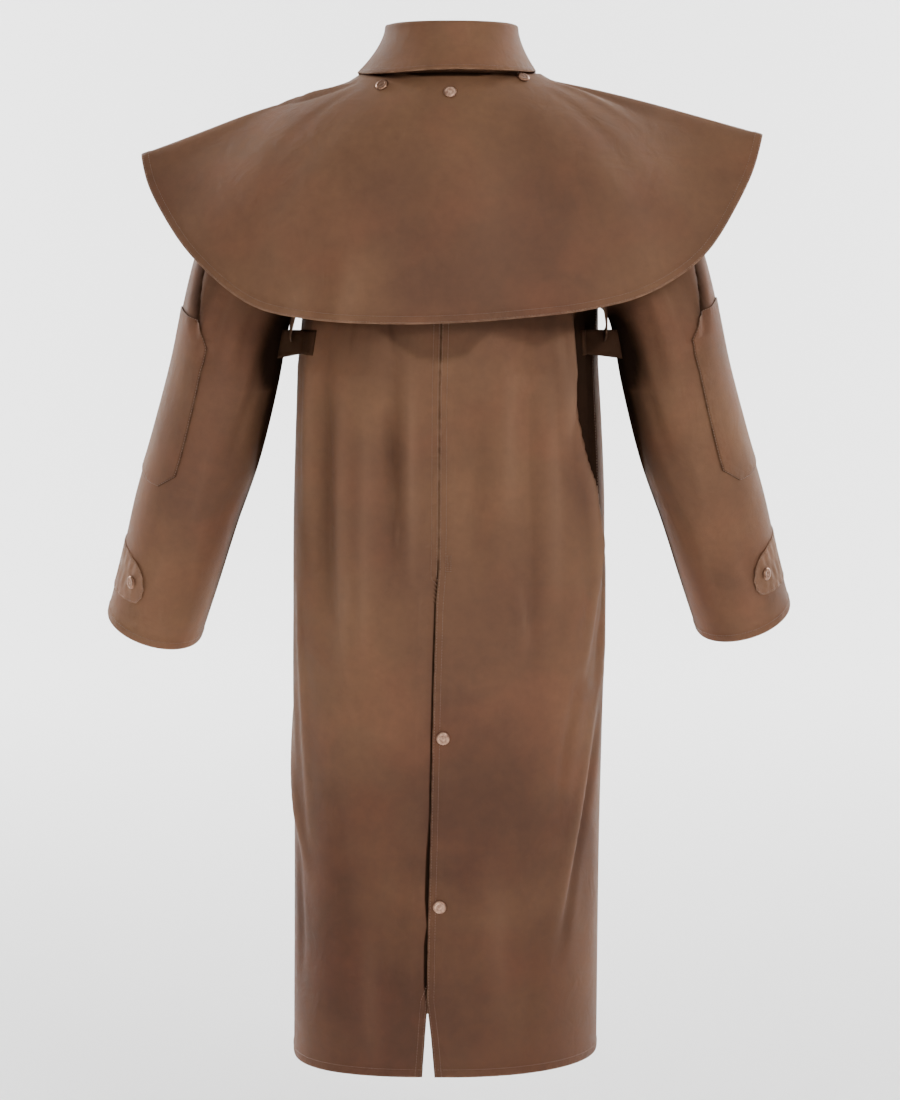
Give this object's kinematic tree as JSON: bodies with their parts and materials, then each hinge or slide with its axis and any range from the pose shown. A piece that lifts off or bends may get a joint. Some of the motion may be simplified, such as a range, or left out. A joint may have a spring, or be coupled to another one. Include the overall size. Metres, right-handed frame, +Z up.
{
  "type": "duster coat",
  "caption": "Long brown oiled-cotton duster coat with a shoulder cape, turned-down collar, elbow patches, snapped cuff tabs and a snapped back vent",
  "frame": {"origin": "middle of the neckline where the coat sits on the wearer's shoulders and nape", "axes": "+Z is up, the coat's front faces +Y and its back faces -Y, and the wearer's left arm is at -X"},
  "size_m": [0.8712, 0.365, 1.2905],
  "materials": {
    "oiled_cotton": "oiled cotton canvas, soft and nearly matt, mottled brown",
    "antique_copper": "aged copper plating, satin, on pressed snap caps"
  },
  "bodies": {
    "root": {"back_left": "oiled_cotton", "back_right": "oiled_cotton", "front_left": "oiled_cotton", "front_right": "oiled_cotton", "sleeve_left": "oiled_cotton", "sleeve_right": "oiled_cotton", "elbow_patch_left": "oiled_cotton", "elbow_patch_right": "oiled_cotton", "cuff_tab_left": "oiled_cotton", "cuff_tab_right": "oiled_cotton", "underarm_tab_left": "oiled_cotton", "underarm_tab_right": "oiled_cotton", "cape_strap_left": "oiled_cotton", "cape_strap_right": "oiled_cotton", "collar": "oiled_cotton", "cape": "oiled_cotton", "cape_snap_back": "antique_copper", "cape_snap_left": "antique_copper", "cape_snap_right": "antique_copper", "cape_snap_front_left": "antique_copper", "cape_snap_front_right": "antique_copper", "vent_snap_upper": "antique_copper", "vent_snap_lower": "antique_copper", "cuff_snap_left": "antique_copper", "cuff_snap_right": "antique_copper", "front_snap_1": "antique_copper", "front_snap_2": "antique_copper", "front_snap_3": "antique_copper", "front_snap_4": "antique_copper", "front_snap_5": "antique_copper"}
  },
  "joints": []
}
